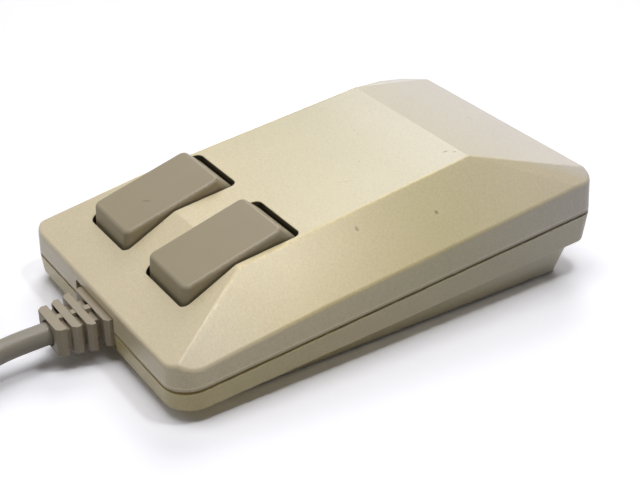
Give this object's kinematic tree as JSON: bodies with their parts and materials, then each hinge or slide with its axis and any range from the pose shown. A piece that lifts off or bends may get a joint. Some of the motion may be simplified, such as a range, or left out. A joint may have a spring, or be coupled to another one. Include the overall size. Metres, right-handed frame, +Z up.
{
  "type": "two-button ball mouse",
  "caption": "Wedge-shaped opto-mechanical computer mouse with two sloping buttons, a rubber-coated ball, ribbed strain relief and a coiled lead to a D-shaped plug.",
  "frame": {"origin": "on the desk, below the middle of the casing's box (lead, strain relief and plug not counted)", "axes": "+Y to the palm end of the casing, the lead leaves towards -Y; +Z up; +X to the left of a user whose hand comes from +Y"},
  "size_m": [0.0883, 0.2081, 0.0287],
  "materials": {
    "shell_abs": "warm beige ABS, finely spark-eroded",
    "keel_abs": "warm beige ABS, finely spark-eroded",
    "button_abs": "taupe ABS, smooth with worn edges",
    "pvc": "warm grey flexible PVC",
    "relief_pvc": "grey-beige flexible PVC",
    "hood_abs": "beige moulded PVC hood",
    "steel": "zinc plated",
    "ball_steel": "ground",
    "ball_rubber": "dark grey, slightly worn",
    "dark_abs": "black",
    "white_abs": "white acetal",
    "ptfe": "dark slippery glide pad",
    "board": "phenolic board with lacquer",
    "smoke": "infrared-clear epoxy",
    "clear": "clear epoxy",
    "tin": "tinned",
    "ceramic": "lacquered film resistor",
    "sleeve": "shrink sleeve",
    "wire": "PVC insulated wires",
    "brass": "gold flashed"
  },
  "bodies": {
    "casing": {"top_shell": "shell_abs", "bottom_shell": "keel_abs", "button_hinge_pin": "steel", "left_switch_body": "dark_abs", "right_switch_body": "dark_abs", "switch_pins": "tin", "pcb": "board", "pcb_screws": "steel", "comparator_ic": "dark_abs", "resistors": "ceramic", "capacitor": "sleeve", "cable_header": "white_abs", "cable_housing": "white_abs", "cable_wires": "wire", "strain_relief": "relief_pvc", "cable_lead": "pvc", "cable_coil": "pvc", "cable_tail": "pvc", "plug_hood": "hood_abs", "plug_shell": "steel", "plug_insulator": "dark_abs", "plug_contacts": "brass", "case_screws": "steel", "front_left_foot": "ptfe", "front_right_foot": "ptfe", "rear_left_foot": "ptfe", "rear_right_foot": "ptfe", "x_led": "clear", "x_phototransistor": "smoke", "y_led": "clear", "y_phototransistor": "smoke", "x_shaft_bushes": "brass", "y_shaft_bushes": "brass", "pressure_arm_pin": "steel"},
    "left_button": {"left_button": "button_abs"},
    "right_button": {"right_button": "button_abs"},
    "left_plunger": {"left_switch_plunger": "white_abs"},
    "right_plunger": {"right_switch_plunger": "white_abs"},
    "ball_inner": {"ball_core": "ball_steel"},
    "ball_outer": {"ball_skin": "ball_rubber"},
    "x_encoder": {"x_encoder_shaft": "steel", "x_encoder_roller": "white_abs", "x_slotted_wheel": "dark_abs"},
    "y_encoder": {"y_encoder_shaft": "steel", "y_encoder_roller": "white_abs", "y_slotted_wheel": "dark_abs"},
    "pressure_arm": {"pressure_arm": "dark_abs", "pressure_roller_axle": "steel", "pressure_spring": "steel"},
    "pressure_roller": {"pressure_roller": "white_abs"},
    "retainer": {"ball_retainer": "keel_abs"}
  },
  "joints": [
    {"name": "left_button_press", "type": "hinge", "parent": "casing", "child": "left_button", "pos_m": [0, -0.00925, 0.0175], "axis": [1, 0, 0], "range_deg": [0, 2], "stiffness_Nm_per_rad": 0.3, "springref_deg": -1.15},
    {"name": "right_button_press", "type": "hinge", "parent": "casing", "child": "right_button", "pos_m": [0, -0.00925, 0.0175], "axis": [1, 0, 0], "range_deg": [0, 2], "stiffness_Nm_per_rad": 0.3, "springref_deg": -1.15},
    {"name": "left_plunger_travel", "type": "slide", "parent": "casing", "child": "left_plunger", "axis": [0, 0, -1], "range_m": [0, 0.001]},
    {"name": "right_plunger_travel", "type": "slide", "parent": "casing", "child": "right_plunger", "axis": [0, 0, -1], "range_m": [0, 0.001]},
    {"name": "ball_roll_x", "type": "hinge", "parent": "casing", "child": "ball_inner", "pos_m": [0, 0.014, 0.011], "axis": [0, 1, 0], "continuous": true},
    {"name": "ball_roll_y", "type": "hinge", "parent": "ball_inner", "child": "ball_outer", "pos_m": [0, 0.014, 0.011], "axis": [1, 0, 0], "continuous": true},
    {"name": "x_encoder_spin", "type": "hinge", "parent": "casing", "child": "x_encoder", "pos_m": [-0.0132, 0.014, 0.011], "axis": [0, 1, 0], "continuous": true},
    {"name": "y_encoder_spin", "type": "hinge", "parent": "casing", "child": "y_encoder", "pos_m": [0, 0.0008, 0.011], "axis": [1, 0, 0], "continuous": true},
    {"name": "pressure_arm_swing", "type": "hinge", "parent": "casing", "child": "pressure_arm", "pos_m": [0.01329, 0.02729, 0.0068], "axis": [-0.7071, 0.7071, 0], "range_deg": [0, 4], "stiffness_Nm_per_rad": 0.05, "springref_deg": -5.73},
    {"name": "pressure_roller_spin", "type": "hinge", "parent": "pressure_arm", "child": "pressure_roller", "pos_m": [0.01004, 0.02404, 0.011], "axis": [0.7071, -0.7071, 0], "continuous": true},
    {"name": "retainer_twist", "type": "hinge", "parent": "casing", "child": "retainer", "pos_m": [0, 0.014, 0.0015], "axis": [0, 0, 1], "range_deg": [0, 35]}
  ],
  "couplings": [
    {"joint": "left_plunger_travel", "follows": "left_button_press", "m_per_rad": 0.0254},
    {"joint": "right_plunger_travel", "follows": "right_button_press", "m_per_rad": 0.0254},
    {"joint": "x_encoder_spin", "follows": "ball_roll_x", "ratio": -5},
    {"joint": "y_encoder_spin", "follows": "ball_roll_y", "ratio": -5},
    {"joint": "pressure_roller_spin", "follows": "ball_roll_y", "ratio": -2.593}
  ]
}
